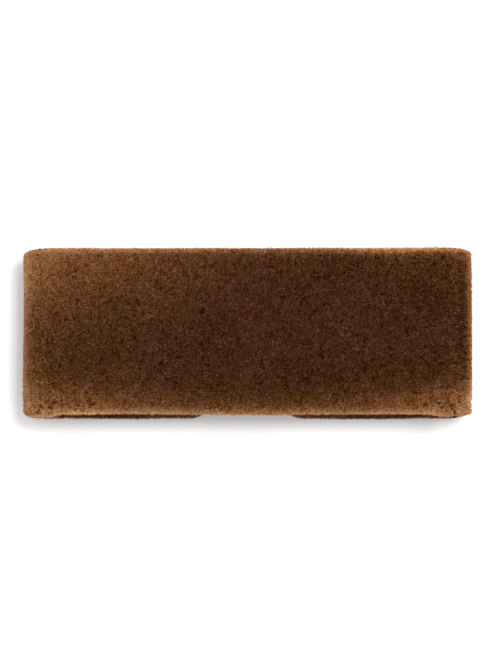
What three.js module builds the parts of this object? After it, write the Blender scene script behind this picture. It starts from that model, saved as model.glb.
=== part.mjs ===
// A shearling headband lying flat, as it would be put down on a table: a closed loop of sheepskin with the wool
// outside and the suede side inside, pressed to two layers. The front layer is on top. The two ends of the strip
// lie underneath as wings and are joined across the middle of the back by a plain knitted elastic.
//
// Millimetres. +X runs along the flattened loop, +Y up the face of the band, +Z up from the surface it lies on.
// The origin is the middle of the footprint, on that surface.

import * as THREE from "three";

// ---- driving sizes -------------------------------------------------------------------------------------------
const LENGTH = 260; // over both folds, wool included
const WIDTH = 98; // height of the band when worn, wool included
const WOOL = 8; // depth of the clipped wool
const SKIN = 1.5; // suede skin that the wool grows from
const SEAT = 0.3; // clearance kept between neighbouring pieces
const FOLD_HOLLOW = 12; // space between the two inner faces where the loop turns
const FRONT_SETTLE = 1.6; // how much lower the front layer lies in the middle than at the folds
const SETTLE_RUN = 58; // length of the slope from a fold down to the settled middle
const WING_GAP = 48; // between the wool of the two wings, across the middle of the back
const WOOL_PAST_SKIN = 3; // the wool leans this far past the cut edge of the skin, at the ends and along both sides
const END_ROUND = 9; // length over which the wool falls away at a wing's end

const ELASTIC = { length: 76, width: 60, thick: 2, corner: 2 };

const SKIN_OUT = SKIN + SEAT; // inner face of the skin to the root plane of the wool
const BUILD_UP = SKIN_OUT + WOOL; // inner face of the skin to the tips of the wool
const FOLD_RADIUS = FOLD_HOLLOW / 2; // of the skin's inner face
const FOLD_X = LENGTH / 2 - FOLD_RADIUS - BUILD_UP; // centre of each fold
const BACK_Z = BUILD_UP; // inner face of the back layer, so that its wool just meets the surface
const FRONT_Z = BACK_Z + FOLD_HOLLOW; // inner face of the front layer at the folds

// ---- the route of the loop, seen along Y ---------------------------------------------------------------------
// Each station has a place (x, z) on the skin's inner face and the outward direction (nx, nz) there.
const smooth = (t) => {
  const c = Math.min(1, Math.max(0, t));
  return c * c * (3 - 2 * c);
};
const frontZ = (x) =>
  FRONT_Z - FRONT_SETTLE * smooth((FOLD_X - Math.abs(x)) / SETTLE_RUN);

function route(endX, endSteps) {
  const stations = [];
  const put = (part, x, z, nx, nz) => stations.push({ part, x, z, nx, nz });
  const tip = endX;
  // left wing, from its end to the fold
  for (const d of endSteps) put("left_wing", -tip - d, BACK_Z, 0, -1);
  const wingStart = tip + endSteps[endSteps.length - 1];
  const WING_STEPS = 7;
  for (let i = 1; i < WING_STEPS; i++)
    put("left_wing", -wingStart - ((FOLD_X - wingStart) * i) / WING_STEPS, BACK_Z, 0, -1);
  // left fold
  const FOLD_STEPS = 12;
  for (let i = 0; i <= FOLD_STEPS; i++) {
    const a = (Math.PI * i) / FOLD_STEPS;
    put(
      "left_fold",
      -FOLD_X - FOLD_RADIUS * Math.sin(a),
      BACK_Z + FOLD_RADIUS - FOLD_RADIUS * Math.cos(a),
      -Math.sin(a),
      -Math.cos(a),
    );
  }
  // front
  const FRONT_STEPS = 22;
  for (let i = 1; i < FRONT_STEPS; i++) {
    const x = -FOLD_X + (2 * FOLD_X * i) / FRONT_STEPS;
    const slope = (frontZ(x + 0.5) - frontZ(x - 0.5)) / 1;
    const k = Math.hypot(1, slope);
    put("front", x, frontZ(x), -slope / k, 1 / k);
  }
  // right fold and wing mirror the left
  const left = stations.filter((p) => p.part !== "front");
  for (const p of left.reverse())
    stations.push({
      part: p.part.replace("left", "right"),
      x: -p.x,
      z: p.z,
      nx: -p.nx,
      nz: p.nz,
    });
  let run = 0;
  stations.forEach((p, i) => {
    if (i) run += Math.hypot(p.x - stations[i - 1].x, p.z - stations[i - 1].z);
    p.run = run;
  });
  return stations;
}

// ---- how the wool's outline changes round the loop -----------------------------------------------------------
// top and bottom: how far the wool reaches from the centreline; round: radius of its long edges; depth: a share of WOOL.
const H = WIDTH / 2;
const OUTLINE = [
  { part: "left_wing", at: -1, top: H - 0.8, bottom: H + 0.3, round: 4.6, depth: 1 },
  { part: "left_wing", at: 0, top: H - 0.8, bottom: H + 0.6, round: 4.6, depth: 1 },
  { part: "left_wing", at: 1, top: H - 0.9, bottom: H + 0.3, round: 4.4, depth: 1 },
  { part: "left_fold", at: 0, top: H - 1.2, bottom: H - 0.4, round: 3.8, depth: 1 },
  { part: "front", at: -1, top: H - 0.5, bottom: H - 0.9, round: 4.2, depth: 1 },
  { part: "front", at: -0.62, top: H - 0.1, bottom: H - 1.1, round: 4.4, depth: 1 },
  { part: "front", at: -0.24, top: H, bottom: H - 0.3, round: 4.4, depth: 1 },
  { part: "front", at: 0.1, top: H, bottom: H, round: 4.4, depth: 1 },
  { part: "front", at: 0.42, top: H + 0.2, bottom: H - 0.9, round: 4.4, depth: 1 },
  { part: "front", at: 0.8, top: H + 0.1, bottom: H - 1, round: 4.4, depth: 1 },
  { part: "front", at: 1, top: H - 0.1, bottom: H - 0.9, round: 4, depth: 1 },
  { part: "right_fold", at: 0, top: H - 0.7, bottom: H - 0.6, round: 3.4, depth: 1 },
  { part: "right_wing", at: 1, top: H - 0.8, bottom: H + 0.2, round: 4.2, depth: 1 },
  { part: "right_wing", at: 0, top: H - 0.8, bottom: H + 0.6, round: 4.6, depth: 1 },
  { part: "right_wing", at: -1, top: H - 0.8, bottom: H + 0.3, round: 4.6, depth: 1 },
];
// at is -1 to 1 along the front from left to right, 0 in the middle of a fold, and on a wing -1 at its end and 1 at its fold.
function outlineRuns(stations) {
  const runs = (part) => stations.filter((p) => p.part === part).map((p) => p.run);
  return OUTLINE.map((row) => {
    const r = runs(row.part);
    const lo = Math.min(...r), hi = Math.max(...r);
    const share = (row.part === "right_wing" ? 1 - (row.at + 1) / 2 : (row.at + 1) / 2);
    return { ...row, run: lo + (hi - lo) * share };
  });
}
function outlineAt(rows, run) {
  const i = Math.max(0, rows.findIndex((row) => row.run >= run) - 1);
  const a = rows[rows[rows.length - 1].run < run ? rows.length - 1 : i];
  const b = rows[Math.min(rows.length - 1, rows.indexOf(a) + 1)];
  const t = b.run > a.run ? smooth((run - a.run) / (b.run - a.run)) : 0;
  const mix = (key) => a[key] + (b[key] - a[key]) * t;
  return { top: mix("top"), bottom: mix("bottom"), round: mix("round"), depth: mix("depth") };
}

// Soft rises and hollows of the clipped wool on the face, in millimetres.
const RELIEF = [
  { x: -104, y: 26, reachX: 26, reachY: 20, lift: 0.5 },
  { x: -52, y: -6, reachX: 40, reachY: 24, lift: -0.6 },
  { x: -74, y: -36, reachX: 44, reachY: 12, lift: 0.45 },
  { x: 18, y: 14, reachX: 46, reachY: 30, lift: -0.45 },
  { x: 62, y: -34, reachX: 50, reachY: 12, lift: 0.4 },
  { x: 96, y: 4, reachX: 26, reachY: 30, lift: -0.5 },
];
const reliefAt = (x, y) =>
  RELIEF.reduce(
    (sum, r) =>
      sum +
      r.lift *
        Math.exp(-(((x - r.x) / r.reachX) ** 2) - ((y - r.y) / r.reachY) ** 2),
    0,
  );

// ---- lofting -------------------------------------------------------------------------------------------------
// sections: one closed ring of points for each station, all with the same count, turning the same way.
function loft(sections) {
  const ring = sections[0].length;
  const position = [];
  for (const section of sections) for (const p of section) position.push(p.x, p.y, p.z);
  const index = [];
  for (let i = 0; i + 1 < sections.length; i++)
    for (let j = 0; j < ring; j++) {
      const a = i * ring + j,
        b = i * ring + ((j + 1) % ring),
        c = a + ring,
        d = b + ring;
      index.push(a, b, c, b, d, c);
    }
  // The two end caps: the first turns against the ring's own direction, the last with it.
  for (const [i, withRing] of [[0, false], [sections.length - 1, true]]) {
    const flat = sections[i].map((p) => new THREE.Vector2(p.u, p.v));
    const ringSign = Math.sign(THREE.ShapeUtils.area(flat));
    for (const [a, b, c] of THREE.ShapeUtils.triangulateShape(flat, [])) {
      const sign = Math.sign(THREE.ShapeUtils.area([flat[a], flat[b], flat[c]]));
      if ((sign === ringSign) === withRing) index.push(i * ring + a, i * ring + b, i * ring + c);
      else index.push(i * ring + a, i * ring + c, i * ring + b);
    }
  }
  const geometry = new THREE.BufferGeometry();
  geometry.setAttribute("position", new THREE.Float32BufferAttribute(position, 3));
  geometry.setIndex(index);
  return faceOut(geometry);
}

// Turns a closed geometry the right way out, by its signed volume.
function faceOut(geometry) {
  const p = geometry.getAttribute("position"), ix = geometry.getIndex().array;
  const a = new THREE.Vector3(), b = new THREE.Vector3(), c = new THREE.Vector3();
  let volume = 0;
  for (let i = 0; i < ix.length; i += 3) {
    a.fromBufferAttribute(p, ix[i]);
    b.fromBufferAttribute(p, ix[i + 1]);
    c.fromBufferAttribute(p, ix[i + 2]);
    volume += a.dot(b.cross(c));
  }
  if (volume < 0)
    for (let i = 0; i < ix.length; i += 3) [ix[i + 1], ix[i + 2]] = [ix[i + 2], ix[i + 1]];
  geometry.computeVertexNormals();
  return geometry;
}

// (across, out) at a station: across is Y, out is the distance from the skin's inner face.
const place = (station, across, out) => ({
  x: station.x + station.nx * out,
  y: across,
  z: station.z + station.nz * out,
  u: across,
  v: out,
});

// ---- the wool ------------------------------------------------------------------------------------------------
const EDGE_STEPS = 5;
function woolSection(station, o, endShare) {
  // endShare is 1 along the band and falls to 0 at a wing's end, where the wool rounds off.
  const depth = WOOL * o.depth * (0.3 + 0.7 * endShare);
  const inset = END_ROUND * 0.75 * (1 - endShare);
  const round = Math.min(o.round, depth * 0.72);
  const onFace = station.part === "front" ? 1 : 0;
  const side = (reach, sign) => {
    const w = reach - inset;
    const points = [
      [w - WOOL_PAST_SKIN, 0],
      [w - WOOL_PAST_SKIN * 0.28, (depth - round) * 0.34],
    ];
    for (let i = 0; i <= EDGE_STEPS; i++) {
      const a = (Math.PI / 2) * (i / EDGE_STEPS);
      points.push([w - round + round * Math.cos(a), depth - round + round * Math.sin(a)]);
    }
    return points.map(([across, out]) => [across * sign, out]);
  };
  const FACE = [-0.72, -0.36, 0, 0.36, 0.72];
  const face = FACE.map((t) => {
    const across = t > 0 ? t * (o.top - inset - round) : -t * -(o.bottom - inset - round);
    return [across, depth];
  });
  const outline = [...side(o.bottom, -1), ...face, ...side(o.top, 1).reverse()];
  return outline.map(([across, out]) => {
    const lifted = out > depth * 0.9 ? onFace * reliefAt(station.x, across) * station.nz : 0;
    return place(station, across, SKIN_OUT + out + lifted);
  });
}

function woolGeometry() {
  const steps = [0, 0.5, 1.6, 3.2, 5.6, END_ROUND, END_ROUND + 5];
  const stations = route(WING_GAP / 2, steps);
  const rows = outlineRuns(stations);
  const total = stations[stations.length - 1].run;
  return loft(
    stations.map((station) => {
      const fromEnd = Math.min(station.run, total - station.run);
      const t = Math.min(1, (fromEnd + 0.12) / END_ROUND);
      const endShare = Math.sqrt(Math.max(0, 1 - (1 - t) ** 2));
      return woolSection(station, outlineAt(rows, station.run), endShare);
    }),
  );
}

// ---- the skin ------------------------------------------------------------------------------------------------
const SKIN_CORNER = 4; // rounding of the strip's four corners
function skinGeometry() {
  const steps = [0, 0.6, 1.6, SKIN_CORNER, 10];
  const stations = route(WING_GAP / 2 + WOOL_PAST_SKIN, steps);
  const rows = outlineRuns(stations);
  const total = stations[stations.length - 1].run;
  return loft(
    stations.map((station) => {
      const o = outlineAt(rows, station.run);
      const fromEnd = Math.min(station.run, total - station.run);
      const t = Math.min(1, fromEnd / SKIN_CORNER);
      const inset = SKIN_CORNER * (1 - Math.sqrt(Math.max(0, 1 - (1 - t) ** 2)));
      const top = o.top - WOOL_PAST_SKIN - inset,
        bottom = o.bottom - WOOL_PAST_SKIN - inset;
      return [
        [-bottom, 0],
        [-bottom, SKIN],
        [0, SKIN],
        [top, SKIN],
        [top, 0],
        [0, 0],
      ].map(([across, out]) => place(station, across, out));
    }),
  );
}

// ---- the elastic ---------------------------------------------------------------------------------------------
function elasticGeometry() {
  const { length, width, thick, corner: r } = ELASTIC;
  const x = length / 2, y = width / 2;
  const shape = new THREE.Shape();
  shape.moveTo(-x + r, -y);
  shape.lineTo(x - r, -y);
  shape.absarc(x - r, -y + r, r, -Math.PI / 2, 0, false);
  shape.lineTo(x, y - r);
  shape.absarc(x - r, y - r, r, 0, Math.PI / 2, false);
  shape.lineTo(-x + r, y);
  shape.absarc(-x + r, y - r, r, Math.PI / 2, Math.PI, false);
  shape.lineTo(-x, -y + r);
  shape.absarc(-x + r, -y + r, r, Math.PI, 1.5 * Math.PI, false);
  return new THREE.ExtrudeGeometry(shape, { depth: thick, bevelEnabled: false, curveSegments: 4 });
}

// ---- assembly ------------------------------------------------------------------------------------------------
const headband = new THREE.Group();

const wool = new THREE.Mesh(
  woolGeometry(),
  new THREE.MeshStandardMaterial({ color: 0x4a2c19, roughness: 0.95, metalness: 0 }),
);
wool.name = "wool_pile";

const skin = new THREE.Mesh(
  skinGeometry(),
  new THREE.MeshStandardMaterial({ color: 0x4b2b1b, roughness: 0.9, metalness: 0 }),
);
skin.name = "sheepskin";

const elastic = new THREE.Mesh(
  elasticGeometry(),
  new THREE.MeshStandardMaterial({ color: 0x35211a, roughness: 0.85, metalness: 0 }),
);
elastic.name = "back_elastic";
elastic.position.set(0, 0, BACK_Z + SEAT);

headband.add(wool, skin, elastic);

// The wool's two long edges aren't quite alike, so the whole is centred over the origin.
const box = new THREE.Box3().setFromObject(headband);
headband.position.set(-(box.min.x + box.max.x) / 2, -(box.min.y + box.max.y) / 2, -box.min.z);

export default headband;
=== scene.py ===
"""Shearling headband: its looks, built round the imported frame. Blender units are metres; the shape work is in millimetres."""
import bpy, math
import numpy as np
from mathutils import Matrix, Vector


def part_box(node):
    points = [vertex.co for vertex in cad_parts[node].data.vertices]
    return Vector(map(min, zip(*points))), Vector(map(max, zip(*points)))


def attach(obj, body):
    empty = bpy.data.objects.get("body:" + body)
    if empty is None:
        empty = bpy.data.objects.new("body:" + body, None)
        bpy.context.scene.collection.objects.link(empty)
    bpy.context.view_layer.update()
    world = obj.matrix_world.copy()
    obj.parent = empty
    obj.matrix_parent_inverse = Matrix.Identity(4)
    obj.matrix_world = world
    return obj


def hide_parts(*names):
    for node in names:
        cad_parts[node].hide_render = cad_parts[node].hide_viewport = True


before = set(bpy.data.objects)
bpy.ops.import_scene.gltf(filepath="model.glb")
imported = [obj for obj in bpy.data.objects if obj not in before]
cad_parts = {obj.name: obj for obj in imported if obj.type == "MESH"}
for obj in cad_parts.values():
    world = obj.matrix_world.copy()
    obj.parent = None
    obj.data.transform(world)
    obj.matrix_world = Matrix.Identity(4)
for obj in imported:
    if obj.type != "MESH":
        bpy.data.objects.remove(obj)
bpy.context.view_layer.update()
wool_lo, wool_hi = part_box("wool_pile")
skin_lo, skin_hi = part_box("sheepskin")
band_lo, band_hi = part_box("back_elastic")

scene = bpy.context.scene
MM = 0.001

# ---------------------------------------------------------------- sizes, as the CAD has them
HALF = wool_hi.x / MM                       # 130
WOOL, SKIN, SEAT = 8.0, 1.5, 0.3
SKIN_OUT = SKIN + SEAT
BUILD_UP = SKIN_OUT + WOOL
FOLD_HOLLOW, FRONT_SETTLE, SETTLE_RUN = 12.0, 1.6, 58.0
FOLD_R = FOLD_HOLLOW / 2
FOLD_X = HALF - FOLD_R - BUILD_UP
BACK_Z = BUILD_UP
FRONT_Z = BACK_Z + FOLD_HOLLOW
WING_END = 24.0                             # half the gap between the wings' wool
PAST = 3.0                                  # how far the wool leans past the skin's edge
END_ROUND = 9.0
H = 49.0
Y_SHIFT = (band_lo.y + band_hi.y) / 2 / MM  # the CAD centres the whole over its origin


def smooth(t):
    c = np.clip(t, 0.0, 1.0)
    return c * c * (3 - 2 * c)


def front_z(x):
    return FRONT_Z - FRONT_SETTLE * smooth((FOLD_X - np.abs(x)) / SETTLE_RUN)


# ---------------------------------------------------------------- the loop's route, finely stepped
def make_route(end_x):
    """Stations along the skin's inner face from the left wing's end round to the right wing's: x, z, outward nx, nz, part."""
    xs, zs, nx, nz, part = [], [], [], [], []

    def put(x, z, a, b, p):
        xs.append(x); zs.append(z); nx.append(a); nz.append(b); part.append(np.full(len(x), p))

    d = np.arange(0, FOLD_X - end_x, 0.25)
    put(-end_x - d, np.full(len(d), BACK_Z), np.zeros(len(d)), -np.ones(len(d)), 0)
    a = np.linspace(0, math.pi, 150)
    put(-FOLD_X - FOLD_R * np.sin(a), BACK_Z + FOLD_R - FOLD_R * np.cos(a), -np.sin(a), -np.cos(a), 1)
    x = np.arange(-FOLD_X + 0.25, FOLD_X - 0.1, 0.25)
    slope = front_z(x + 0.5) - front_z(x - 0.5)
    k = np.hypot(1, slope)
    put(x, front_z(x), -slope / k, 1 / k, 2)
    a = a[::-1]
    put(FOLD_X + FOLD_R * np.sin(a), BACK_Z + FOLD_R - FOLD_R * np.cos(a), np.sin(a), -np.cos(a), 3)
    d = d[::-1]
    put(end_x + d, np.full(len(d), BACK_Z), np.zeros(len(d)), -np.ones(len(d)), 4)
    r = {"x": np.concatenate(xs), "z": np.concatenate(zs), "nx": np.concatenate(nx), "nz": np.concatenate(nz), "part": np.concatenate(part)}
    step = np.hypot(np.diff(r["x"]), np.diff(r["z"]))
    r["run"] = np.concatenate([[0], np.cumsum(step)])
    # the same length measured out where the wool's tips are, so that a fold counts for what it shows
    ox, oz = r["x"] + r["nx"] * BUILD_UP, r["z"] + r["nz"] * BUILD_UP
    r["outer"] = np.concatenate([[0], np.cumsum(np.hypot(np.diff(ox), np.diff(oz)))])
    return r


ROUTE = make_route(WING_END)
RUN_END, OUTER_END = ROUTE["run"][-1], ROUTE["outer"][-1]
run_of = lambda outer: np.interp(outer, ROUTE["outer"], ROUTE["run"])

# top, bottom: reach from the centreline; round: radius of the long edges
OUTLINE = [
    ("left_wing", -1, H - 1.1, H - 0.1, 4.6), ("left_wing", 0, H - 1.1, H + 0.2, 4.6), ("left_wing", 1, H - 1.2, H - 0.1, 4.4),
    ("left_fold", 0, H - 0.9, H - 0.3, 3.6),
    ("front", -1, H - 0.8, H + 0.3, 4.0), ("front", -0.86, H - 0.6, H + 0.0, 4.2), ("front", -0.62, H - 0.5, H - 0.4, 4.4), ("front", -0.24, H - 0.4, H + 0.0, 4.4),
    ("front", 0.1, H - 0.4, H + 0.3, 4.4), ("front", 0.42, H - 0.2, H - 0.2, 4.4), ("front", 0.76, H - 0.3, H - 0.3, 4.4),
    ("front", 0.9, H - 0.3, H + 0.1, 4.0), ("front", 1, H - 0.4, H + 0.1, 3.8),
    ("right_fold", 0, H - 0.4, H - 1.1, 3.2),
    ("right_wing", 1, H - 1.1, H - 0.2, 4.2), ("right_wing", 0, H - 1.1, H + 0.3, 4.6), ("right_wing", -1, H - 1.1, H + 0.0, 4.6),
]
PARTS = {"left_wing": 0, "left_fold": 1, "front": 2, "right_fold": 3, "right_wing": 4}


def outline_rows():
    rows = []
    for name, at, top, bottom, rnd in OUTLINE:
        sel = ROUTE["run"][ROUTE["part"] == PARTS[name]]
        share = 1 - (at + 1) / 2 if name == "right_wing" else (at + 1) / 2
        rows.append((sel.min() + (sel.max() - sel.min()) * share, top, bottom, rnd))
    return np.array(rows)


ROWS = outline_rows()


def outline(run):
    i = np.clip(np.searchsorted(ROWS[:, 0], run) - 1, 0, len(ROWS) - 2)
    a, b = ROWS[i], ROWS[i + 1]
    t = smooth((run - a[..., 0]) / np.maximum(b[..., 0] - a[..., 0], 1e-6))[..., None]
    m = a[..., 1:] + (b[..., 1:] - a[..., 1:]) * t
    return m[..., 0], m[..., 1], m[..., 2]


RELIEF = [(-104, 26, 26, 20, 0.5), (-52, -6, 40, 24, -0.6), (-74, -36, 44, 12, 0.45), (18, 14, 46, 30, -0.45), (62, -34, 50, 12, 0.4), (96, 4, 26, 30, -0.5)]


def relief(x, y):
    return sum(l * np.exp(-(((x - a) / rx) ** 2) - ((y - b) / ry) ** 2) for a, b, rx, ry, l in RELIEF)


def wool_surface(run, u, side, shrink=0.0):
    """A point on the wool. u is 0 at the middle of the face, 1 where the rounding starts, 2 where it ends, 3 low on the rim and 4 at the skin's edge; side is 1 up the face, -1 down it.
    shrink is how far inside the wool's outer form, in mm. Surfaces of two shrinks match point for point along the strands."""
    x0, z0 = np.interp(run, ROUTE["run"], ROUTE["x"]), np.interp(run, ROUTE["run"], ROUTE["z"])
    nx, nz = np.interp(run, ROUTE["run"], ROUTE["nx"]), np.interp(run, ROUTE["run"], ROUTE["nz"])
    k = np.maximum(np.hypot(nx, nz), 1e-6)
    nx, nz = nx / k, nz / k
    top, bottom, rnd = outline(run)
    from_end = np.minimum(run, RUN_END - run)
    t = np.minimum(1, (from_end + 0.12) / END_ROUND)
    end = np.sqrt(np.maximum(0, 1 - (1 - t) ** 2))
    depth = WOOL * (0.3 + 0.7 * end)
    w = np.where(side > 0, top, bottom) - END_ROUND * 0.5 * (1 - end)
    rnd = np.minimum(rnd, depth * 0.72)
    w2, d2, r2 = w - shrink, np.maximum(depth - shrink, 0.3), np.maximum(rnd - shrink, 0.3)
    f, a = np.clip(u, 0, 1), np.clip(u - 1, 0, 1) * math.pi / 2
    l1, l2 = np.clip(u - 2, 0, 1), np.clip(u - 3, 0, 1)
    across = f * (w2 - r2) + r2 * np.sin(a) - 0.84 * l1 - (PAST - 0.84) * l2
    out = (d2 - r2) * (1 - 0.66 * l1 - 0.34 * l2) + r2 * np.cos(a)
    y = side * across
    front = smooth((FOLD_X - np.abs(x0)) / 6 + 0.5) * (nz > 0)
    out = out + front * relief(x0, y) * smooth(2 - u)
    # the folds aren't quite straight: the right one stands out towards its top, the left one bows
    out = out + np.maximum(0, nx) ** 2 * (0.7 + 0.5 * smooth(y / 60 + 0.5)) * smooth(2.2 - u)
    out = out + np.maximum(0, -nx) ** 2 * (0.6 * smooth((y - 22) / 18) - 0.5 * smooth((-y - 30) / 14)) * smooth(2.2 - u)
    # past the wing's end the strands lean into the gap between the wings
    lean = np.sign(x0) * -1.0 * np.maximum(0, 1 - from_end / 4.0) * (1 - smooth(out / 6 - 0.2)) * (-shrink) * 0.6
    return np.stack([x0 + nx * (SKIN_OUT + out) + lean, y + Y_SHIFT, z0 + nz * (SKIN_OUT + out)], -1)


# ---------------------------------------------------------------- noise, all from fixed seeds
def hashed(i, j, seed):
    h = (i.astype(np.int64) * 374761393 + j.astype(np.int64) * 668265263 + seed * 2147483647 + 12345) & 0xFFFFFFFF
    h = ((h ^ (h >> 13)) * 1274126177) & 0xFFFFFFFF
    h = ((h ^ (h >> 16)) * 2246822519) & 0xFFFFFFFF
    return ((h ^ (h >> 15)) & 0xFFFFFF) / float(0x1000000)


def noise(a, b, cell, seed):
    """Smooth value noise from -1 to 1."""
    u, v = a / cell, b / cell
    i, j = np.floor(u), np.floor(v)
    fu, fv = smooth(u - i), smooth(v - j)
    c00, c10 = hashed(i, j, seed), hashed(i + 1, j, seed)
    c01, c11 = hashed(i, j + 1, seed), hashed(i + 1, j + 1, seed)
    return 2 * ((c00 * (1 - fu) + c10 * fu) * (1 - fv) + (c01 * (1 - fu) + c11 * fu) * fv) - 1


def fbm(a, b, cell, seed, octaves=3):
    total, k = 0.0, 1.0
    for o in range(octaves):
        total = total + k * noise(a, b, cell / 2 ** o, seed + 17 * o)
        k *= 0.5
    return total / (2 - 0.5 ** (octaves - 1))


def locks(a, b, cell, seed):
    """The wool's locks: (distance to the lock's middle in mm, offset towards it in a and b, a number for each lock)."""
    wa, wb = a + cell * 0.35 * noise(a, b, cell * 1.4, seed + 5), b + cell * 0.35 * noise(a, b, cell * 1.4, seed + 6)
    i0, j0 = np.floor(wa / cell), np.floor(wb / cell)
    best, da, db, ident = np.full(a.shape, 1e9), np.zeros(a.shape), np.zeros(a.shape), np.zeros(a.shape)
    for di in (-1, 0, 1):
        for dj in (-1, 0, 1):
            i, j = i0 + di, j0 + dj
            ca, cb = (i + 0.15 + 0.7 * hashed(i, j, seed)) * cell, (j + 0.15 + 0.7 * hashed(i, j, seed + 1)) * cell
            d = np.hypot(ca - wa, cb - wb)
            near = d < best
            best = np.where(near, d, best)
            da, db = np.where(near, ca - wa, da), np.where(near, cb - wb, db)
            ident = np.where(near, hashed(i, j, seed + 2), ident)
    return best, da, db, ident


def section_length(run, u, side):
    """Distance across the strip from the centreline to u, in mm, signed by side."""
    top, bottom, rnd = outline(run)
    w = np.where(side > 0, top, bottom)
    flat = w - rnd
    return side * (np.clip(u, 0, 1) * flat + np.clip(u - 1, 0, 1) * rnd * math.pi / 2 + np.clip(u - 2, 0, 2) * 2.6)


# ---------------------------------------------------------------- the lie of the wool: where it is lighter, longer, curlier; painted sheen along its edges and painted shade on the wings' rims
# Soft patches on the face: x, y, reach along, reach up, lift of tone. A positive lift is lighter.
BASE_TONE = 0.337
TONE_PATCHES = [
    (-128, 42, 30, 24, 0.18), (-130, -10, 24, 60, 0.09), (-100, 36, 78, 34, 0.195), (-110, -44, 66, 16, 0.13), (0, 50, 220, 16, 0.04),
    (116, -42, 54, 15, 0.17), (0, -48, 220, 12, 0.07), (88, 50, 30, 6, 0.14), (-122, -30, 14, 24, 0.04), (46, 0, 74, 36, -0.05), (58, -30, 46, 13, -0.07),
    (0, -42, 240, 6, 0.06), (116, -39, 50, 8, 0.05), (-88, -37, 32, 8, 0.045), (132, -38, 12, 14, 0.05), (-129, -46, 9, 9, 0.12), (-122, -44, 18, 12, 0.02),
    (-114, 50, 22, 5, -0.08), (114, 0, 20, 42, -0.055), (-36, -2, 30, 32, -0.045), (-18, 44, 30, 12, -0.025), (-80, 14, 17, 14, -0.05), (-82, 42, 20, 9, 0.04), (56, 42, 17, 9, -0.04), (127, 46, 9, 10, 0.09),
]


def fur_facts(run, u, side):
    """For points on the wool: mm along the outside, mm across, x and y on the face, and shares from 0 to 1 of rim, fold and curl."""
    outer = np.interp(run, ROUTE["run"], ROUTE["outer"])
    t = section_length(run, u, side)
    p = wool_surface(run, u, side)
    x, y = p[..., 0], p[..., 1]
    part = np.interp(run, ROUTE["run"], ROUTE["nz"])
    front = smooth((part + 0.95) / 0.9)
    rim = smooth((u - 1.0) / 0.9)
    fold = smooth((np.abs(x) - 112) / 14)
    curl = front * np.clip(smooth((-y - 25) / 13) * (0.26 + 0.10 * smooth(-x / 40) + 0.80 * smooth((np.abs(x) - 66 - 10 * smooth(x / 40)) / 36)) + 0.12 * smooth((y - 36) / 10) * smooth((-x - 60) / 40), 0, 1)
    return outer, t, x, y, front, rim, fold, curl


def painted_edge_sheen(run, u, side, x, y):
    """Painted sheen: the lift of tone where the wool turns away at an edge and its strands are seen from the side,
    along the long edges and round the folds.
    """
    top, bottom, rnd = outline(run)
    w = np.where(side > 0, top, bottom)
    in_from_edge = np.where(u < 1, rnd + (1 - u) * (w - rnd), rnd * (1 - np.sin(np.clip(u - 1, 0, 1) * math.pi / 2)))
    right_end, left_end, over_mouth = smooth((x - 20) / 50), smooth((-x - 30) / 40), smooth((np.abs(x) - 52) / 20)
    upper = (0.22 - 0.07 * left_end + 0.11 * right_end) * np.maximum(0, 1 - in_from_edge / 9.0) ** 1.6 + (0.05 + 0.10 * left_end + 0.16 * right_end) * np.exp(-in_from_edge / 0.9)
    lower = (0.26 - 0.15 * over_mouth) * np.maximum(0, 1 - in_from_edge / 8.0) ** 1.3 + (0.20 + 0.16 * over_mouth) * np.exp(-in_from_edge / (0.9 + 0.5 * over_mouth))
    long_edge = np.where(side > 0, upper, lower * (1 - 0.25 * smooth((np.abs(x) - 106) / 12)))
    in_from_fold = np.maximum(0, HALF + 0.8 * (x > 0) - np.abs(x))
    right = smooth(x / 40 + 0.5)
    fold_edge = (1 - right) * ((0.30 + 0.15 * smooth((y - 22) / 16)) * np.exp(-in_from_fold / 1.4) + 0.30 * np.exp(-in_from_fold / 4.5)) + right * (0.24 * (1 - smooth((in_from_fold - 0.4) / 4.2)) + 0.07 * np.exp(-in_from_fold / 1.0))
    return np.maximum(long_edge, fold_edge)


def tone_at(run, u, side):
    outer, t, x, y, front, rim, fold, curl = fur_facts(run, u, side)
    tone = BASE_TONE + front * sum(l * np.exp(-(((x - a) / rx) ** 2) - ((y - b) / ry) ** 2) for a, b, rx, ry, l in TONE_PATCHES)
    back = smooth((FOLD_X + 5 - np.abs(x)) / 20) * (1 - front)
    # painted sheen along the edges and round the folds, none on the back layer
    tone = tone + painted_edge_sheen(run, u, side, x, y) * (1 - back)
    tone = tone + 0.025 * fbm(outer, t, 34, 3) + 0.02 * fbm(outer, t, 9, 7, 2)
    # painted shade of a groove: a narrow darker band beside the right fold, over its upper part
    painted_groove_shade = front * np.exp(-(((x - 124.6) / 2.4) ** 2)) * smooth((y + 32) / 20)
    # the back layer's rims are darker, painted shade under the front's edge, less so towards the mouth and the folds;
    # its lower corners under the folds are lighter, painted light against that shade
    mouth_ends = smooth((np.abs(x) - 90) / 14) + 0.9 * smooth((np.abs(x) - 108) / 8) + smooth((66 - np.abs(x)) / 16)
    corner = (1 - front) * np.exp(-(((np.abs(x) - 116) / 5) ** 2)) * smooth((-y - 38) / 8)
    return tone + back * (0.04 - (0.16 - 0.11 * mouth_ends) * rim) - 0.12 * painted_groove_shade + 0.24 * corner


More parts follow.
